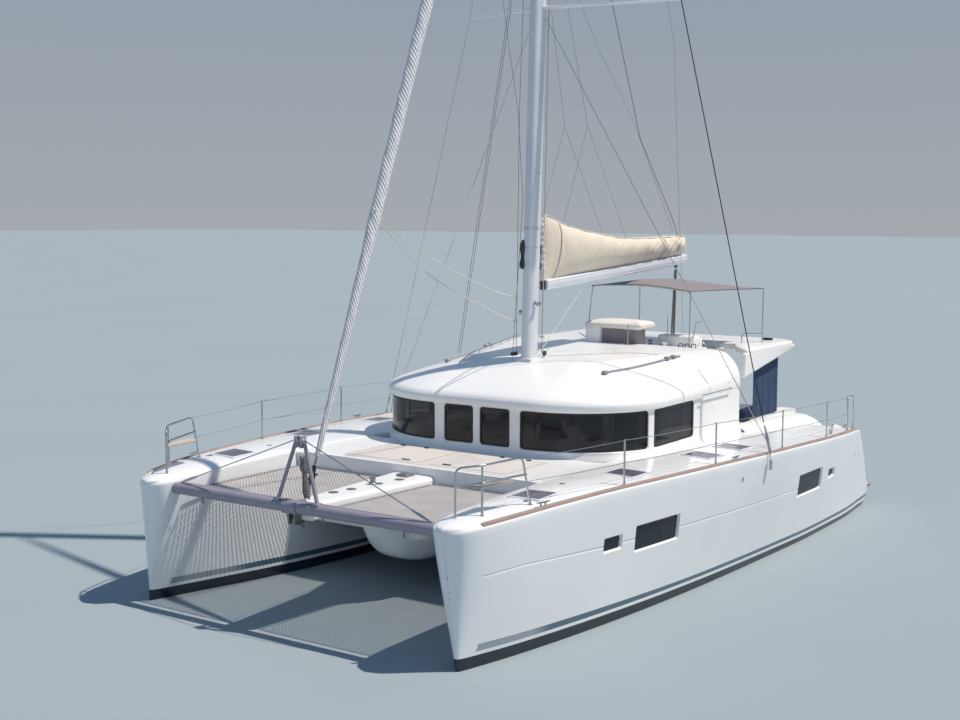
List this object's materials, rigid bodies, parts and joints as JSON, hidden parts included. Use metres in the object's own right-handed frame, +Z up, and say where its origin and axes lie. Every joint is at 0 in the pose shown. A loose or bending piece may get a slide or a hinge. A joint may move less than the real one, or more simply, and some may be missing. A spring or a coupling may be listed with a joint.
{
  "type": "sailing catamaran",
  "caption": "White cruising sailing catamaran with furled sails, nets, a glazed deckhouse, a hardtop cockpit, a raised helm and stern steps.",
  "frame": {"origin": "on the centreline at the waterline, amidships", "axes": "+X to port, -Y to the bow, +Z up"},
  "size_m": [7.5336, 12.7211, 20.85],
  "materials": {
    "gelcoat": "polished white gelcoat",
    "nonskid": "moulded non-skid",
    "smoked_acrylic": "dark smoked acrylic",
    "antifouling": "matt antifouling paint",
    "cast_leg": "painted casting",
    "bronze": "polished propeller bronze",
    "dark_anodised": "dark grey anodised",
    "anodised": "clear anodised",
    "netting": "knotless polyester net",
    "upholstery": "woven",
    "teak": "oiled",
    "beige_canvas": "acrylic canvas",
    "sailcloth": "laminated sailcloth",
    "stainless": "polished stainless steel",
    "navy_canvas": "acrylic canvas",
    "vinyl": "padded marine vinyl",
    "taupe_canvas": "acrylic canvas"
  },
  "bodies": {
    "root": {"hull_port": "gelcoat", "hull_starboard": "gelcoat", "keel_port": "antifouling", "keel_starboard": "antifouling", "saildrive_port": "cast_leg", "saildrive_starboard": "cast_leg", "bridgedeck": "gelcoat", "crossbeam": "dark_anodised", "striker": "dark_anodised", "longeron": "gelcoat", "trampoline_port": "netting", "trampoline_starboard": "netting", "deckhouse_walls": "gelcoat", "window_front_port": "smoked_acrylic", "window_front_starboard": "smoked_acrylic", "window_corner_port": "smoked_acrylic", "window_corner_starboard": "smoked_acrylic", "window_side_port": "smoked_acrylic", "window_side_starboard": "smoked_acrylic", "aft_bulkhead": "gelcoat", "coachroof": "gelcoat", "saloon_settee": "upholstery", "saloon_table": "teak", "mast": "anodised", "furled_genoa": "sailcloth", "shroud_port": "stainless", "shroud_starboard": "stainless", "hardtop": "gelcoat", "side_curtain": "navy_canvas", "helm_console": "gelcoat", "helm_seat": "vinyl", "sun_pad": "vinyl", "cockpit_table": "teak", "cockpit_bench": "vinyl", "bimini_frame": "stainless", "bimini_canopy": "taupe_canvas", "guard_rail_port": "stainless", "guard_rail_starboard": "stainless", "pulpit_seat_port": "teak", "pulpit_seat_starboard": "teak"},
    "boom": {"boom": "anodised", "sail_bag": "beige_canvas"},
    "rudder_port": {"rudder_port": "antifouling"},
    "rudder_starboard": {"rudder_starboard": "antifouling"},
    "helm_wheel": {"helm_wheel": "stainless"},
    "propeller_port": {"propeller_port": "bronze"},
    "propeller_starboard": {"propeller_starboard": "bronze"},
    "saloon_door": {"saloon_door": "smoked_acrylic"},
    "deck_hatch_fore_port": {"deck_hatch_fore_port": "smoked_acrylic"},
    "deck_hatch_fore_starboard": {"deck_hatch_fore_starboard": "smoked_acrylic"},
    "deck_hatch_second_port": {"deck_hatch_second_port": "smoked_acrylic"},
    "deck_hatch_second_starboard": {"deck_hatch_second_starboard": "smoked_acrylic"},
    "deck_hatch_third_port": {"deck_hatch_third_port": "smoked_acrylic"},
    "deck_hatch_third_starboard": {"deck_hatch_third_starboard": "smoked_acrylic"},
    "deck_hatch_aft_port": {"deck_hatch_aft_port": "smoked_acrylic"},
    "deck_hatch_aft_starboard": {"deck_hatch_aft_starboard": "smoked_acrylic"},
    "foredeck_locker_port": {"foredeck_locker_port": "nonskid"},
    "foredeck_locker_starboard": {"foredeck_locker_starboard": "nonskid"}
  },
  "joints": [
    {"name": "boom_swing", "type": "hinge", "parent": "root", "child": "boom", "pos_m": [0, -0.25, 4.265], "axis": [0, 0, 1], "range_deg": [-70, 70]},
    {"name": "rudder_turn_port", "type": "hinge", "parent": "root", "child": "rudder_port", "pos_m": [2.62, 4.9, -0.6], "axis": [0, 0, 1], "range_deg": [-35, 35]},
    {"name": "rudder_turn_starboard", "type": "hinge", "parent": "root", "child": "rudder_starboard", "pos_m": [-2.62, 4.9, -0.6], "axis": [0, 0, 1], "range_deg": [-35, 35]},
    {"name": "wheel_turn", "type": "hinge", "parent": "root", "child": "helm_wheel", "pos_m": [1.025, 3.21, 2.8], "axis": [0, 1, 0], "range_deg": [-541, 541]},
    {"name": "propeller_spin_port", "type": "hinge", "parent": "root", "child": "propeller_port", "pos_m": [2.62, 4.09, -0.62], "axis": [0, 1, 0], "continuous": true},
    {"name": "propeller_spin_starboard", "type": "hinge", "parent": "root", "child": "propeller_starboard", "pos_m": [-2.62, 4.09, -0.62], "axis": [0, 1, 0], "continuous": true},
    {"name": "saloon_door_slide", "type": "slide", "parent": "root", "child": "saloon_door", "axis": [-1, 0, 0], "range_m": [0, 0.9]},
    {"name": "deck_hatch_fore_port_lift", "type": "hinge", "parent": "root", "child": "deck_hatch_fore_port", "pos_m": [2.62, -4.9, 1.85608], "axis": [1, 0, 0], "range_deg": [0, 85]},
    {"name": "deck_hatch_fore_starboard_lift", "type": "hinge", "parent": "root", "child": "deck_hatch_fore_starboard", "pos_m": [-2.62, -4.9, 1.85608], "axis": [1, 0, 0], "range_deg": [0, 85]},
    {"name": "deck_hatch_second_port_lift", "type": "hinge", "parent": "root", "child": "deck_hatch_second_port", "pos_m": [2.9, -2.95, 1.85761], "axis": [1, 0, 0], "range_deg": [0, 85]},
    {"name": "deck_hatch_second_starboard_lift", "type": "hinge", "parent": "root", "child": "deck_hatch_second_starboard", "pos_m": [-2.9, -2.95, 1.85761], "axis": [1, 0, 0], "range_deg": [0, 85]},
    {"name": "deck_hatch_third_port_lift", "type": "hinge", "parent": "root", "child": "deck_hatch_third_port", "pos_m": [3.08, -0.9, 1.82572], "axis": [1, 0, 0], "range_deg": [0, 85]},
    {"name": "deck_hatch_third_starboard_lift", "type": "hinge", "parent": "root", "child": "deck_hatch_third_starboard", "pos_m": [-3.08, -0.9, 1.82572], "axis": [1, 0, 0], "range_deg": [0, 85]},
    {"name": "deck_hatch_aft_port_lift", "type": "hinge", "parent": "root", "child": "deck_hatch_aft_port", "pos_m": [3.08, 0.23, 1.79119], "axis": [1, 0, 0], "range_deg": [0, 85]},
    {"name": "deck_hatch_aft_starboard_lift", "type": "hinge", "parent": "root", "child": "deck_hatch_aft_starboard", "pos_m": [-3.08, 0.23, 1.79119], "axis": [1, 0, 0], "range_deg": [0, 85]},
    {"name": "foredeck_locker_port_lift", "type": "hinge", "parent": "root", "child": "foredeck_locker_port", "pos_m": [0.775, -2.42, 1.7953], "axis": [-1, 0, 0], "range_deg": [0, 85]},
    {"name": "foredeck_locker_starboard_lift", "type": "hinge", "parent": "root", "child": "foredeck_locker_starboard", "pos_m": [-0.775, -2.42, 1.7953], "axis": [-1, 0, 0], "range_deg": [0, 85]}
  ],
  "couplings": [
    {"joint": "rudder_turn_starboard", "follows": "rudder_turn_port", "ratio": 1},
    {"joint": "wheel_turn", "follows": "rudder_turn_port", "ratio": -15.43}
  ]
}
